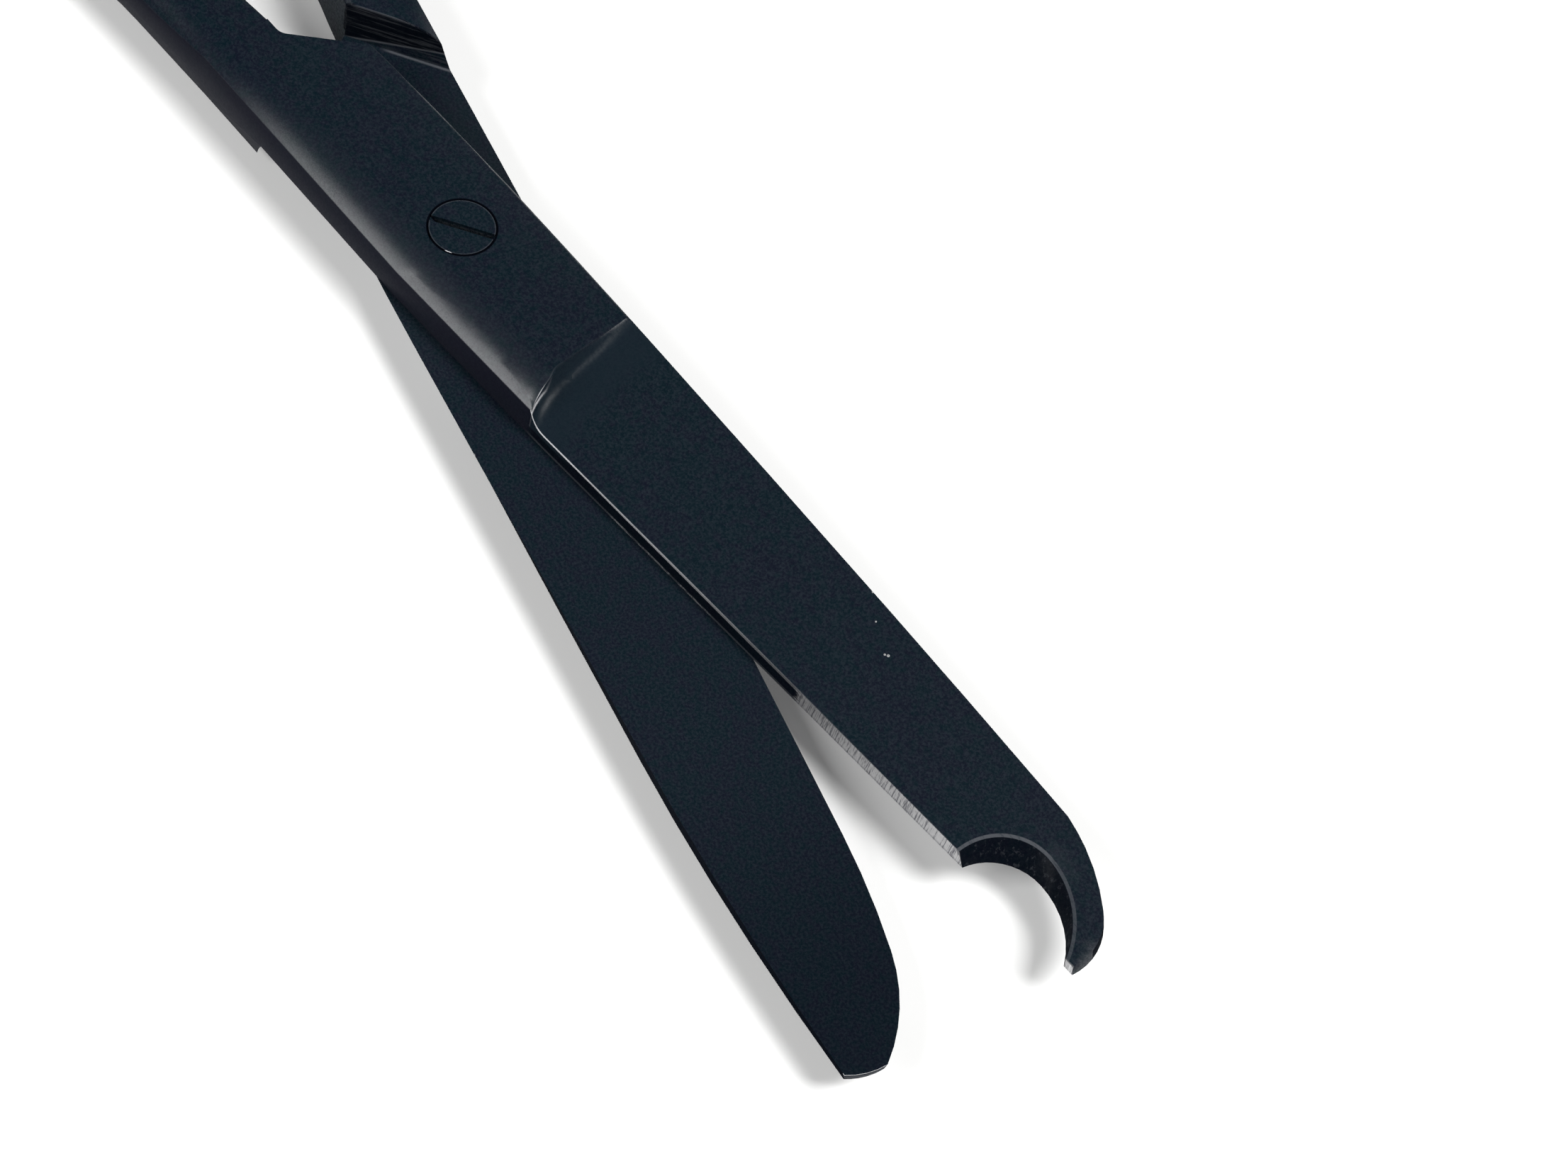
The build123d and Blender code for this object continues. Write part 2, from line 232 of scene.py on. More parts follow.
class Number:
    """A number socket that adds its Math nodes as it is worked with."""

    def __init__(self, nodes, socket):
        self.nodes = nodes
        self.socket = socket

    def maths(self, operation, first, *others):
        numbers = {i: getattr(v, "socket", v) for i, v in enumerate((first, *others))}
        return self.nodes.number("ShaderNodeMath", numbers, operation=operation)

    def __add__(self, other):
        return self.maths("ADD", self, other)

    def __radd__(self, other):
        return self.maths("ADD", other, self)

    def __sub__(self, other):
        return self.maths("SUBTRACT", self, other)

    def __rsub__(self, other):
        return self.maths("SUBTRACT", other, self)

    def __mul__(self, other):
        return self.maths("MULTIPLY", self, other)

    def __rmul__(self, other):
        return self.maths("MULTIPLY", other, self)

    def __truediv__(self, other):
        return self.maths("DIVIDE", self, other)

    def __pow__(self, other):
        return self.maths("POWER", self, other)

    def __neg__(self):
        return self.maths("MULTIPLY", self, -1)

    def __abs__(self):
        return self.maths("ABSOLUTE", self)

    def most(self, other):
        return self.maths("MAXIMUM", self, other)

    def least(self, other):
        return self.maths("MINIMUM", self, other)

    def rise(self, low, high):
        """0 to 1 between the two levels, smoothly."""
        inputs = {"Value": self, "From Min": low, "From Max": high}
        return self.nodes.number("ShaderNodeMapRange", inputs, interpolation_type="SMOOTHSTEP")

    def fall(self, low, high):
        return 1 - self.rise(low, high)

    def above(self, level, soft):
        """0 below the level, 1 above it, with a soft step."""
        return self.rise(level - soft, level + soft)

    def below(self, level, soft):
        return 1 - self.above(level, soft)

    def between(self, low, high, soft):
        return self.above(low, soft) * self.below(high, soft)

    def line(self, level, width):
        """1 on the level, falling to 0 at the width."""
        return abs(self - level).fall(0, width)


class Nodes:
    """A node tree filled by one method, with Number sockets for its maths."""

    def __init__(self, owner):
        owner.use_nodes = True
        self.owner = owner
        self.tree = owner.node_tree
        self.tree.nodes.clear()

    def node(self, kind, inputs=None, **settings):
        node = self.tree.nodes.new(kind)
        for name, value in settings.items():
            setattr(node, name, value)
        for name, value in (inputs or {}).items():
            value = getattr(value, "socket", value)
            if isinstance(value, bpy.types.NodeSocket):
                self.tree.links.new(value, node.inputs[name])
            else:
                node.inputs[name].default_value = value
        return node

    def number(self, kind, inputs, output=0, **settings):
        return Number(self, self.node(kind, inputs, **settings).outputs[output])

    def attribute(self, name):
        return self.number("ShaderNodeAttribute", {}, output=2, attribute_name=name)

    def mapped(self, place, **inputs):
        return self.node("ShaderNodeMapping", {"Vector": place, **inputs}).outputs[0]

    def joined(self, *numbers):
        return self.node("ShaderNodeCombineXYZ", dict(enumerate(numbers))).outputs[0]

    def axes(self, place):
        split = self.node("ShaderNodeSeparateXYZ", {"Vector": place})
        return [Number(self, split.outputs[axis]) for axis in range(3)]

    def noise(self, place, scale, detail=2.0, roughness=0.5):
        inputs = {"Vector": place, "Scale": scale, "Detail": detail, "Roughness": roughness}
        return self.number("ShaderNodeTexNoise", inputs)

    def mix(self, factor, first, second):
        """Mixes two colours."""
        return self.node("ShaderNodeMix", {0: factor, 6: first, 7: second}, data_type="RGBA").outputs[2]

    def principled(self, **inputs):
        names = {}
        for name, value in inputs.items():
            names[name.replace("_", " ").title().replace("Ior", "IOR")] = value
        node = self.node("ShaderNodeBsdfPrincipled", names)
        self.node("ShaderNodeOutputMaterial", {"Surface": node.outputs[0]})
        return self.owner


def half_place(nodes, side):
    """Millimetres in a half's own frame: along the blade, out to its spine, and up from the meeting plane."""
    place = nodes.node("ShaderNodeTexCoord").outputs["Object"]
    flip = 1 / MM if side == "hooked" else -1 / MM
    lift = -MEETING if side == "hooked" else MEETING
    turn = (0, 0, radians(-HALF_OPENING))
    place = nodes.mapped(place, Scale=(1 / MM, flip, flip), Location=(0, 0, lift), Rotation=turn)
    return place, nodes.axes(place)


def half_frame(side):
    """The same turn and lift for a mesh's points."""
    flip = 1 / MM if side == "hooked" else -1 / MM
    lift = -MEETING if side == "hooked" else MEETING
    scale = Matrix.Diagonal((1 / MM, flip, flip, 1))
    return Matrix.Translation((0, 0, lift)) @ Matrix.Rotation(radians(-HALF_OPENING), 4, "Z") @ scale


def from_axis(along, out):
    return (along * along + out * out) ** 0.5


def spot(along, out, place, radius):
    """1 at a place on a half's face, falling to 0 at the radius."""
    return from_axis(along - place[0], out - place[1]).fall(radius * 0.4, radius)


def inside_wall(along, out, up, side):
    """How far a place stands in from the drafted wall of the handle side and the cutting side."""
    edge_slope = (EDGE_END[side][1] - HEEL[1]) / (EDGE_END[side][0] - HEEL[0])
    joint_slope = (HEEL[1] - HANDLE_SIDE) / HEEL[0]
    shank_slope = (HANDLE_SIDE - SHANK_SIDE) / (SHANK_START - SHANK_END)
    joint_line = along.most(0) * joint_slope + (along - SHANK_START).least(0) * shank_slope + HANDLE_SIDE
    edge_line = (along - HEEL[0]) * edge_slope + HEEL[1]
    foot = joint_line.most(edge_line) if side == "hooked" else joint_line.least(edge_line)
    return out - foot - abs(up) * EDGE_LEAN


def coating(nodes, place):
    """Colour and gloss of the satin coating: slow clouds, blotches and fine speckle."""
    cloud = nodes.noise(place, 0.35, 3)
    blotch = nodes.noise(place, 2.2, 3, 0.6)
    grain = nodes.noise(place, 7, 3, 0.75)
    tint = (cloud * 0.6 + blotch * 0.9).above(0.75, 0.12)
    colour = nodes.mix(tint, COATING_TEAL, COATING_VIOLET)
    colour = nodes.mix(grain.above(0.52, 0.12) * (0.35 + blotch * 0.5), colour, COATING_SPECK)
    gloss = 0.25 + (grain - 0.4) * 0.7
    return colour, gloss, grain


def coated(nodes, colour, gloss, grain, bare, cuts):
    """Matt steel under a thin satin coat, or bare ground steel where the coating is off."""
    height = grain * (1 - bare) * 0.012 + cuts * bare * 0.02
    bump = nodes.node("ShaderNodeBump", {"Height": height, "Strength": 0.4, "Distance": MM})
    return nodes.principled(
        base_color=colour, roughness=0.3 + cuts * 0.2, metallic=bare, normal=bump.outputs[0],
        specular_ior_level=0, coat_weight=gloss * (1 - bare), coat_roughness=0.34, coat_ior=1.5)


class Surface:
    """A half's coated surface, with the colour, gloss and bare steel that each kind of wear, and each painted
    highlight and shade, changes.
    """

    def __init__(self, side):
        self.nodes = Nodes(bpy.data.materials.new("coated_steel_" + side))
        self.place, (self.along, self.out, self.up) = half_place(self.nodes, side)
        self.colour, self.gloss, self.grain = coating(self.nodes, self.place)
        self.worn = self.drawn_noise((1, 4, 4), 1.5, 4, 0.7)
        self.cuts = self.drawn_noise((13, 0.7, 0.7), 1, 3, 0.8)
        self.ground = self.nodes.attribute("ground")
        self.flank = self.nodes.attribute("flank")
        self.top_face = self.up.above(0.5, 0.05)
        self.stand_off = inside_wall(self.along, self.out, self.up, side)
        self.wall = self.stand_off.below(0.02, 0.025)
        self.in_front = self.along.above(EDGE_CREASE, 0.5)

    def drawn_noise(self, stretch, scale, detail, roughness):
        """Noise that is drawn out along the half or across it."""
        return self.nodes.noise(self.nodes.mapped(self.place, Scale=stretch), scale, detail, roughness)

    def spot(self, place, radius):
        return spot(self.along, self.out, place, radius)

    def paint(self, share, colour):
        self.colour = self.nodes.mix(share, self.colour, colour)

    def dull(self, share):
        self.gloss = self.gloss * (1 - share)

    def shine(self, share, level):
        self.gloss = self.gloss * (1 - share) + share * level


def handle_side(half):
    """The wall, with a painted reflection tint behind the crease and painted shade in front of it, and the
    crown over it with speckle and streaks from the grinding belt.
    """
    along = half.along
    behind = 1 - half.in_front
    on_crown = half.stand_off.above(0.02, 0.02) * half.stand_off.fall(*CROWN_BAND) * behind
    streaks = half.drawn_noise((6, 0.8, 0.8), 1, 3, 0.7)
    speckle = half.nodes.noise(half.place, 15, 2, 0.7)
    level = along.rise(*SHINE_RISE) * 0.62 + along.rise(*SHINE_PEAK) * 0.2 + 0.05
    level = level * (0.35 + speckle * 1.6) + (streaks - 0.5) * 0.8 * along.rise(*STREAK_RISE)
    half.shine(on_crown, level)
    spine_glow = half.out.rise(*GLOW_ACROSS) * along.fall(*GLOW_FRONT) * along.rise(*GLOW_REAR)
    half.gloss = half.gloss * (1 + spine_glow * 1.2)
    lower_wall = half.up.rise(*LOWER_WALL) * 0.26 + 0.04
    half.shine(half.wall, lower_wall * (0.6 + half.grain * 0.8) * behind + 0.02)
    # painted reflection tint on the wall behind the crease, painted shade on the wall in front
    half.paint(half.wall * behind * 0.8, WALL_REFLECTION_TINT)
    half.paint(half.wall * half.in_front * 0.75, PAINTED_SHADE)


def steep_faces(half):
    """Painted shade on the steep faces of the blade's spine and tip."""
    half.dull(half.flank * 0.9)
    half.paint(half.flank * 0.8, PAINTED_SHADE)


def crease(half):
    """The crease where the grinding begins, with a painted highlight along it and at its end on the cutting
    side, and a matt run-out in front of it.
    """
    out = half.out
    past_turn = (CREASE_TURN - out).most(0).least(CREASE_RADIUS - 0.2)
    curve = CREASE_RADIUS - (CREASE_RADIUS ** 2 - past_turn * past_turn) ** 0.5
    from_crease = half.along - (SPINE - out) * CREASE_LEAN - curve - CREASE_REACH
    from_crease = from_crease - out.rise(*CREASE_BEND) * CREASE_SHIFT
    runout = from_crease.rise(-0.05, 0.15) * from_crease.fall(*MATT_RUNOUT) * half.top_face
    crease_highlight = out.below(-1.8, 1.2) * 0.6 + out.above(3.6, 0.6) * 0.15 + 0.07
    crease_highlight = crease_highlight * from_crease.line(0.02, 0.07)
    crease_end = out.below(-2.5, 0.5) * from_crease.line(0, 0.06) * half.stand_off.above(0.04, 0.03)
    half.dull(runout * 0.85)
    half.paint(runout * (0.3 + half.grain * 1.1).least(1), COATING_MATT)
    # painted highlight along the crease and at its end on the cutting side
    half.paint(crease_highlight * half.top_face * 0.6, WORN_AND_HIGHLIGHT_GREY)
    half.paint(crease_end * 0.45, RIM_WEAR_AND_HIGHLIGHT)


def cutting_side(half):
    """A rim at the top of its wall that is worn and carries a painted highlight, chips along its foot, a
    lighter line along the foot in front, and silver in front.
    """
    along, up, worn = half.along, half.up, half.worn
    steep = (1 - (along - CORNER_START) / CORNER_LENGTH).most(0).least(1)
    wall_top = ROOT_EDGE - (along - EDGE_CREASE) * EDGE_FALL + steep ** CORNER_CURVE * CORNER_RISE
    rim = (up - wall_top + 0.035 + steep * 0.06).above(0, 0.015) * (wall_top + 0.12 - up).above(0, 0.02)
    rim = rim * half.stand_off.below(0.035, 0.02) * along.above(CORNER_START, 0.15)
    rim = rim * (1 - along.rise(*RIM_FADE) * 0.45 - along.rise(*RIM_END) * 0.4)
    chips = half.stand_off.below(0.06, 0.02) * up.below(0.1, 0.03)
    chips = chips * along.between(*CHIPS, 1) * worn.above(0.52, 0.05)
    front = half.ground * (along + worn * SILVER_RAGGED).above(SILVER_REACH, 0.4)
    lower_line = half.wall * up.between(-0.05, 0.12, 0.03) * half.in_front
    half.bare = front.most(chips)
    half.paint(half.bare, half.nodes.mix(half.cuts.above(0.54, 0.06), BARE_STEEL, STEEL_SHADE))
    # the rim: wear and a painted highlight
    half.paint(rim * (0.35 + worn * 0.5).least(1), RIM_WEAR_AND_HIGHLIGHT)
    half.dull(rim)
    half.paint(lower_line * 0.35, WORN_AND_HIGHLIGHT_GREY)


def notch(half):
    """A rim round the crescent notch, worn and with a painted highlight and a painted sheen, and faint marks
    on its wall, which painted shade darkens.
    """
    along, out, up = half.along, half.out, half.up
    across = along - up * (NOTCH_LEAN * cos(NOTCH_HEADING)) - NOTCH_TOP[0]
    below_top = out - up * (NOTCH_LEAN * sin(NOTCH_HEADING)) - NOTCH_TOP[1]
    from_blade_arc = from_axis(across, below_top + BLADE_ARC) - BLADE_ARC
    from_hook_arc = from_axis(across, below_top + HOOK_ARC) - HOOK_ARC
    hook_part = across.above(0, 0.01)
    from_wall = from_blade_arc * (1 - hook_part) + from_hook_arc * hook_part
    in_notch = along.above(NOTCH_START, 0.3) * out.below(NOTCH_SIDE, 0.1)
    rim = from_wall.between(0.02, 0.2, 0.02) * up.above(0.35, 0.05) * in_notch
    rim = rim.most(from_wall.between(0.02, 0.9, 0.3) * half.spot(NOTCH_SHINE, NOTCH_SHINE_SIZE) * 0.12)
    wall = from_wall.between(-0.06, 0.02, 0.02) * in_notch
    marks = half.drawn_noise((1, 1, 0.4), 3.5, 4, 0.7).above(0.6, 0.05)
    marking = (0.15 + half.worn.above(0.4, 0.15) * 0.3) * (1 + along.below(NOTCH_LIGHTER_END, 0.8) * 0.7)
    # rim: wear and painted highlight; wall: painted shade
    half.paint(rim * marking * half.top_face, WORN_AND_HIGHLIGHT_GREY)
    half.paint(wall * 0.8, PAINTED_SHADE)
    half.paint(wall * marks * 0.18, WORN_AND_HIGHLIGHT_GREY)
    half.dull(wall * 0.85)


def bare_flecks(half):
    """Flecks where the coating is off the blade's outer face."""
    flecks = 0
    for along, out, radius, strength in FLECKS:
        flecks = (half.spot((along, out), radius) * strength).most(flecks)
    flecks = flecks * half.top_face
    half.bare = half.bare.most(flecks)
    half.paint(flecks, FLECK_STEEL)


def gap_round_screw(half):
    """Shadowed gap between the screw's head and its hole."""
    gap = from_axis(half.along, half.out).between(HEAD_RADIUS - 0.005, HEAD_RADIUS + 0.1, 0.012)
    gap = gap * half.up.above(1.7, 0.1)
    # painted shade in the gap
    half.paint(gap, PAINTED_SHADE)
    half.dull(gap)


def milled_step(half):
    """Cutter marks along the step's wall, painted shade on the wall above the first pass's line, and painted
    highlights on the lines that two passes left and on the top rim.
    """
    along, out = half.along, half.out
    ahead = (along - STEP_REACH) * sin(STEP_ANGLE) + out * cos(STEP_ANGLE)
    beside = (along - STEP_REACH) * cos(STEP_ANGLE) - out * sin(STEP_ANGLE)
    rise = -half.up
    milled = ahead.between(*MILLED_AHEAD, 0.03) * rise.between(*MILLED_RISE, 0.03)
    milled = milled * along.between(*MILLED_SPAN, 0.2)
    from_pass = rise - (beside - PASS_START) * PASS_RISE
    cutter = half.nodes.noise(half.nodes.joined(beside * 0.25, ahead * 2, half.up * 6), 1, 4, 0.75)
    top_rim = rise.above(RIM_RISE, 0.03) * ahead.line(RIM_AHEAD, 0.06) * beside.between(*RIM_SPAN, 0.4)
    first_pass = (from_pass.line(0.02, 0.1) * milled).most(top_rim * 0.7)
    foot_pass = ahead.line(-0.02, 0.14) * beside.between(*FOOT_SPAN, 0.4) * rise.below(0.15, 0.05)
    # painted shade on the wall above the first pass's line, painted highlights on the pass lines and the top
    # rim
    half.paint(milled * from_pass.above(0.05, 0.03) * 0.85, PAINTED_SHADE)
    half.paint(milled * cutter.above(0.56, 0.07) * 0.3, WORN_AND_HIGHLIGHT_GREY)
    half.paint((first_pass.most(foot_pass) * (0.3 + cutter)).least(1), WORN_AND_HIGHLIGHT_GREY)
    half.dull(milled * 0.8)


def nick(half):
    half.paint(half.spot(NICK, NICK_SIZE), BARE_STEEL)


def blunt_end(half):
    """A painted highlight line at the top, then dark, then a lighter grey face, on a tip that painted shade
    makes darker than the blade.
    """
    end_face = half.flank * (half.along + half.out * BLUNT_LEAN).above(BLUNT_END, 0.03)
    darker_tip = half.along.rise(*DARKER_TIP)
    # painted highlight line at the top of the end, lighter grey below, painted shade on the tip
    half.paint(end_face * half.up.above(0.22, 0.06) * 0.75, WORN_AND_HIGHLIGHT_GREY)
    half.paint(end_face * half.up.below(0.07, 0.02), RIM_WEAR_AND_HIGHLIGHT)
    half.dull(darker_tip * 0.65)
    half.paint(darker_tip * (1 - end_face) * 0.35, PAINTED_SHADE)


def coated_steel(side):
    """Satin black coating over blasted steel, with the wear and the painted light and shade of one half."""
    half = Surface(side)
    handle_side(half)
    steep_faces(half)
    crease(half)
    cutting_side(half)
    wear_and_painted_light = {"hooked": (notch, bare_flecks, gap_round_screw), "plain": (milled_step, nick, blunt_end)}
    for marking in wear_and_painted_light[side]:
        marking(half)
    return coated(half.nodes, half.colour, half.gloss.most(0).least(1), half.grain, half.bare, half.cuts)


def screw_steel():
    """The same coating over turned steel, worn in the driver slot, with painted shade in the gap round the
    head, a painted highlight just inside its rim and a painted glint.
    """
    nodes = Nodes(bpy.data.materials.new("coated_screw"))
    place = nodes.mapped(nodes.node("ShaderNodeTexCoord").outputs["Object"], Scale=(1 / MM,) * 3)
    along, out, up = nodes.axes(place)
    colour, gloss, grain = coating(nodes, place)
    slot_low, slot_high = (TOP - depth for depth in SLOT_DEPTHS)
    slot_floor = up.between(slot_low, slot_high, 0.03) * (along * along + out * out).below(SLOT_REACH, 0.1)
    radius = from_axis(along, out)
    gap = radius.above(HEAD_RADIUS - 0.03, 0.015)
    # a painted highlight just inside the head's rim
    rim_highlight = radius.line(HEAD_RADIUS - 0.055, 0.05) * grain.above(0.35, 0.2)
    colour = nodes.mix(slot_floor * grain.above(0.45, 0.1) * 0.35, colour, WORN_AND_HIGHLIGHT_GREY)
    colour = nodes.mix(rim_highlight * 0.35, colour, WORN_AND_HIGHLIGHT_GREY)
    # painted shade in the gap round the head, and a painted glint in it
    colour = nodes.mix(gap, colour, PAINTED_SHADE)
    colour = nodes.mix(spot(along, out, GLINT, GLINT_SIZE) * gap, colour, RIM_WEAR_AND_HIGHLIGHT)
    cuts = nodes.noise(place, 3)
    return coated(nodes, colour, gloss * (1 - gap), grain, gap * 0, cuts)


def ahead_of_step(point):
    return (point.x - STEP_REACH) * sin(STEP_ANGLE) + point.y * cos(STEP_ANGLE)


def on_round_wall(point):
    """True on the round wall that the solid's step has."""
    run = STEP_FOOT - ahead_of_step(point)
    rise = -point.z
    if rise <= 0 or not ROUND_RUN[0] < run < ROUND_RUN[1] or not STEP_SPAN[0] < point.x < STEP_SPAN[1]:
        return False
    radius = sqrt((run - ROUND_CENTRE[0]) ** 2 + (rise - ROUND_CENTRE[1]) ** 2)
    return abs(radius - ROUND_WALL) < WALL_NEAR


def steep_step(point):
    """Moves a point of the step's wall along the half to the steeper wall."""
    steeper = STEP_FOOT - WALL_RUN * (min(THICKNESS, -point.z) / THICKNESS) ** WALL_CURVE
    return Vector((point.x + (steeper - ahead_of_step(point)) / sin(STEP_ANGLE), point.y, point.z))


def crown(point):
    """Moves a point of the handle side's small rounding to the wider crown with the same lower edge."""
    foot = HANDLE_SIDE + max(0, point.x) * (HEEL[1] - HANDLE_SIDE) / HEEL[0]
    low = THICKNESS - SMALL_ROUND
    start = foot + (low + SMALL_ROUND * sin(DRAFT)) * EDGE_LEAN
    centre = start + SMALL_ROUND * cos(DRAFT)
    crown_radius = SMALL_ROUND * (1 - sin(DRAFT)) / (1 - sin(CROWN_START))
    crown_centre = start + crown_radius * cos(CROWN_START)

    # The rounding as it is here, between the joint's and the rear shank's
    share = min(1, max(0, (point.x - SHANK_END) / (SHANK_START - SHANK_END)))
    lean = DRAFT * share
    round_here = SMALL_ROUND * share + SHANK_ROUND * (1 - share)
    centre_here = centre * share + (SHANK_SIDE + SHANK_ROUND) * (1 - share)
    low_here = low * share + (THICKNESS - SHANK_ROUND) * (1 - share)
    height = abs(point.z)
    across = point.y - centre_here
    rise = height - low_here
    room = CROWN_LIMIT - centre_here
    if share == 0 or rise < round_here * sin(lean) - START_NEAR or across > room:
        return point
    if point.x > HEEL[0] or point.xy.length < HOLE_ROOM:
        return point

    if across <= 0 and abs(sqrt(across ** 2 + rise ** 2) - round_here) < ARC_NEAR:
        along_arc = max(0, (atan2(rise, -across) - lean) / (CROWN_END - lean))
        small = DRAFT + along_arc * (CROWN_END - DRAFT)
        wide = CROWN_START + along_arc * (CROWN_END - CROWN_START)
        move_out = crown_centre - crown_radius * cos(wide) - (centre - SMALL_ROUND * cos(small))
        move_up = THICKNESS - crown_radius * (1 - sin(wide)) - (low + SMALL_ROUND * sin(small))
    elif across > 0 and height > THICKNESS - FLAT_NEAR:
        move_out = (crown_centre - centre) * (1 - across / room)
        move_up = 0
    else:
        return point
    side = 1 if point.z > 0 else -1
    return Vector((point.x, point.y + move_out * share, side * (height + move_up * share)))


def placed(face, turn):
    """A face's normal and middle in its half's frame."""
    return (turn.to_3x3() @ face.normal).normalized(), turn @ face.calc_center_median()


def is_sharp(edge):
    return len(edge.link_faces) == 2 and edge.calc_face_angle() >= SHARP


def edge_kind(edge, turn):
    """Which of the broken edges this one is, or None where the faces run on smoothly."""
    middle = turn @ ((edge.verts[0].co + edge.verts[1].co) / 2)
    if not is_sharp(edge) or middle.xy.length < HOLE_REACH:
        return None
    lower, upper = sorted((placed(face, turn)[0] for face in edge.link_faces), key=lambda normal: normal.z)
    if upper.z <= FACES_UP:
        return "plain edge"
    if NOTCH_WALL_UP[0] < lower.z < NOTCH_WALL_UP[1] and middle.x > TIP_REACH:
        return "notch rim"
    if lower.y < CUTTING_WALL_OUT and EDGE_CREASE < middle.x < BLUNT_WALL:
        return "cutting rim"
    if lower.y > JOINT_WALL_OUT and JOINT_RIM_START < middle.x < CREASE_REACH:
        return "joint rim"
    return "plain edge"


def is_ground(face, turn):
    """True on the walls that were ground bare after coating."""
    normal, middle = placed(face, turn)
    if abs(normal.z) > GROUND_UP or middle.z < 0:
        return False
    return normal.y < GROUND_OUT and middle.y < GROUND_SIDE and middle.x > EDGE_CREASE


def is_flank(face, turn, side):
    """True on the steep faces of the blade's spine and tip."""
    normal, middle = placed(face, turn)
    if abs(normal.z) > FLANK_UP or middle.x < CREASE_REACH - 1:
        return False
    return normal.y > FLANK_OUT or side == "plain" and (middle.x > TIP_REACH or normal.x > BLUNT_FRONT)


def reshape(shape, turn):
    """Gives the crown and the step of a half their finished form."""
    back = turn.inverted()
    for vertex in shape.verts:
        point = turn @ vertex.co
        crowned = crown(point)
        vertex.co = back @ (steep_step(crowned) if on_round_wall(point) else crowned)


def merge_flat_faces(shape):
    """Merges the triangles of flat faces, apart from those round the screw's hole."""
    room = HOLE_ROOM * MM
    points = [vertex for vertex in shape.verts if vertex.co.xy.length > room]
    edges = [edge for edge in shape.edges if all(end.co.xy.length > room for end in edge.verts)]
    bmesh.ops.dissolve_limit(shape, angle_limit=SAME_PLANE, verts=points, edges=edges)


def mark(shape, turn, side, broken):
    """Marks the faces that the material looks for, and sets how wide each edge is broken."""
    ground = shape.faces.layers.float.new("ground")
    flank = shape.faces.layers.float.new("flank")
    weight = shape.edges.layers.float.new("bevel_weight_edge")
    for face in shape.faces:
        face.smooth = True
        face[ground] = float(is_ground(face, turn))
        face[flank] = float(is_flank(face, turn, side))
    for edge in shape.edges:
        kind = edge_kind(edge, turn) if broken else None
        edge[weight] = EDGE_WIDTHS[kind] / WIDEST if kind else 0
        edge.smooth = bool(kind) or not is_sharp(edge)


def refined(node_name, body, material, side):
    """A merged copy of a solid; a half also has its finished form and broken edges that catch the light."""
    is_half = node_name != "pivot_screw"
    mesh = frame["nodes"][node_name].data.copy()
    mesh.name = node_name + "_finished"
    turn = half_frame(side)
    shape = bmesh.new()
    shape.from_mesh(mesh)
    bmesh.ops.remove_doubles(shape, verts=shape.verts, dist=SAME_POINT * MM)
    if is_half:
        reshape(shape, turn)
    merge_flat_faces(shape)
    mark(shape, turn, side, broken=is_half)
    shape.to_mesh(mesh)
    shape.free()
    mesh.materials.clear()
    mesh.materials.append(material)
    piece = bpy.data.objects.new(node_name + "_finished", mesh)
    bpy.context.scene.collection.objects.link(piece)
    bevel = piece.modifiers.new("broken edges", "BEVEL")
    bevel.width = WIDEST * MM
    bevel.segments = 2
    bevel.limit_method = "WEIGHT"
    bevel.miter_outer = "MITER_ARC"
    normals = piece.modifiers.new("flat faces stay flat", "WEIGHTED_NORMAL")
    normals.keep_sharp = True
    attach(piece, body)
    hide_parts(node_name)


def table():
    """A white table top that keeps soft shadows and fades to plain white further off."""
    mesh = bpy.data.meshes.new("table_top")
    shape = bmesh.new()
    bmesh.ops.create_grid(shape, x_segments=1, y_segments=1, size=TABLE_SIZE)
    bmesh.ops.translate(shape, verts=shape.verts, vec=(0, 0, -0.02 * MM))
    shape.to_mesh(mesh)
    shape.free()
    top = bpy.data.objects.new("table_top", mesh)
    bpy.context.scene.collection.objects.link(top)
    nodes = Nodes(bpy.data.materials.new("white_table"))
    ray = nodes.node("ShaderNodeLightPath").outputs
    seen = Number(nodes, ray["Is Camera Ray"]).most(Number(nodes, ray["Is Glossy Ray"]))
    across, back, _ = nodes.axes(nodes.node("ShaderNodeTexCoord").outputs["Object"])
    far_off = from_axis(across, back).rise(*TABLE_FADE)
    share = seen * (TABLE_GLOW + far_off * (1 - TABLE_GLOW))
    matt = nodes.node("ShaderNodeBsdfDiffuse", {"Color": TABLE_WHITE})
    glow = nodes.node("ShaderNodeEmission", {"Color": WHITE, "Strength": 1.0})
    mixed = nodes.node("ShaderNodeMixShader", {0: share, 1: matt.outputs[0], 2: glow.outputs[0]})
    nodes.node("ShaderNodeOutputMaterial", {"Surface": mixed.outputs[0]})
    mesh.materials.append(nodes.owner)


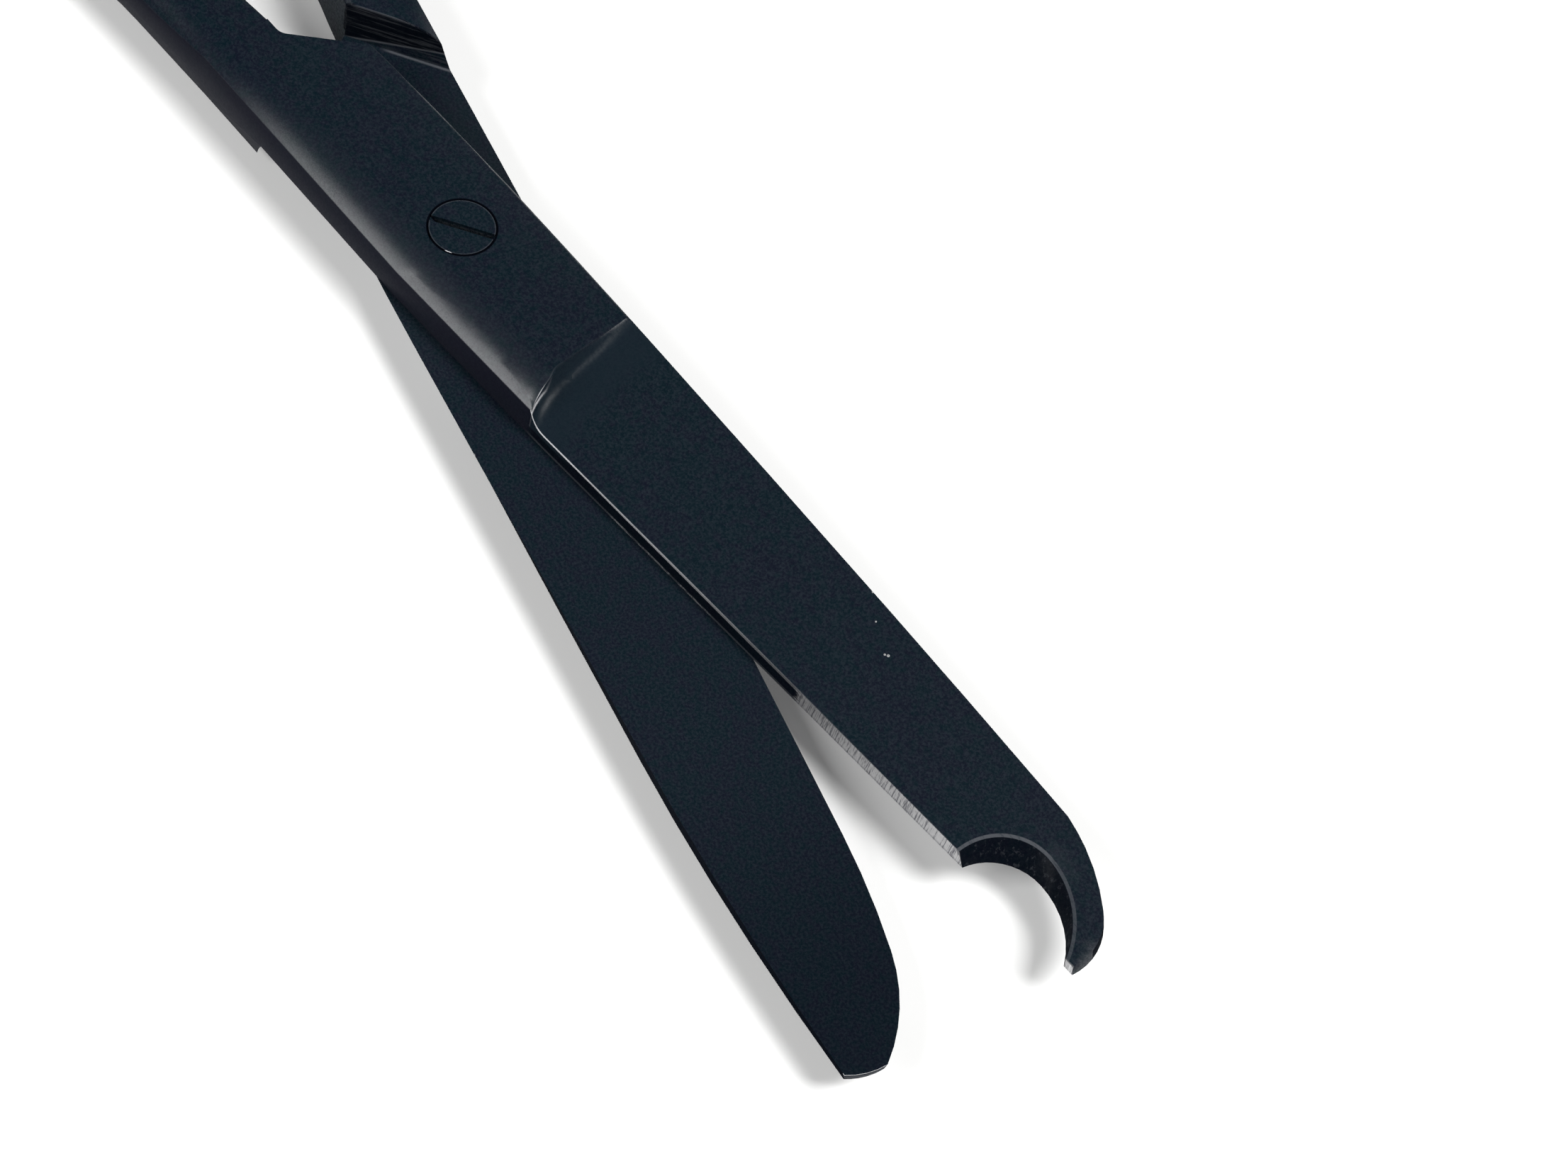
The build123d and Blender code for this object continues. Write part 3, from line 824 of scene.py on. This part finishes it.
def softbox(name, azimuth, elevation, width, height, watts):
    """An area lamp aimed at the scissors."""
    lamp = bpy.data.lights.new(name, "AREA")
    lamp.shape = "RECTANGLE"
    lamp.size = width
    lamp.size_y = height
    lamp.energy = watts
    lamp_object = bpy.data.objects.new(name, lamp)
    aim = Vector(LAMP_AIM)
    turn = Matrix.Rotation(radians(azimuth), 4, "Z") @ Matrix.Rotation(radians(-elevation), 4, "Y")
    lamp_object.location = aim + turn @ Vector((LAMP_DISTANCE, 0, 0))
    lamp_object.rotation_euler = (aim - lamp_object.location).to_track_quat("-Z", "Y").to_euler()
    bpy.context.scene.collection.objects.link(lamp_object)


def studio():
    """A room that is white at table height and dark above, with two softboxes."""
    world = bpy.data.worlds.new("studio")
    bpy.context.scene.world = world
    nodes = Nodes(world)
    height = nodes.axes(nodes.node("ShaderNodeTexCoord").outputs["Generated"])[2]
    camera_ray = Number(nodes, nodes.node("ShaderNodeLightPath").outputs["Is Camera Ray"])
    colour = nodes.mix(height.rise(*HORIZON).most(camera_ray), DARK_ROOM, WHITE)
    background = nodes.node("ShaderNodeBackground", {"Color": colour, "Strength": 1.0})
    nodes.node("ShaderNodeOutputWorld", {"Surface": background.outputs[0]})
    softbox("back_window", azimuth=45, elevation=54, width=0.52, height=0.52, watts=17.2)
    softbox("side_window", azimuth=-106, elevation=35, width=0.5, height=0.8, watts=11.5)


def camera():
    data = bpy.data.cameras.new("camera")
    data.lens = CAMERA_LENS
    data.sensor_width = SENSOR_WIDTH
    data.clip_start = CLIP_START
    eye = bpy.data.objects.new("camera", data)
    eye.location = CAMERA_PLACE
    look = (Vector(CAMERA_AIM) - Vector(CAMERA_PLACE)).to_track_quat("-Z", "Y")
    eye.rotation_euler = (look.to_matrix() @ Matrix.Rotation(radians(CAMERA_ROLL), 3, "Z")).to_euler()
    bpy.context.scene.collection.objects.link(eye)
    bpy.context.scene.camera = eye


refined("hooked_half", "hooked", coated_steel("hooked"), "hooked")
refined("plain_half", "plain", coated_steel("plain"), "plain")
refined("pivot_screw", "plain", screw_steel(), "hooked")
table()
studio()
camera()
bpy.context.scene.view_settings.view_transform = "Standard"
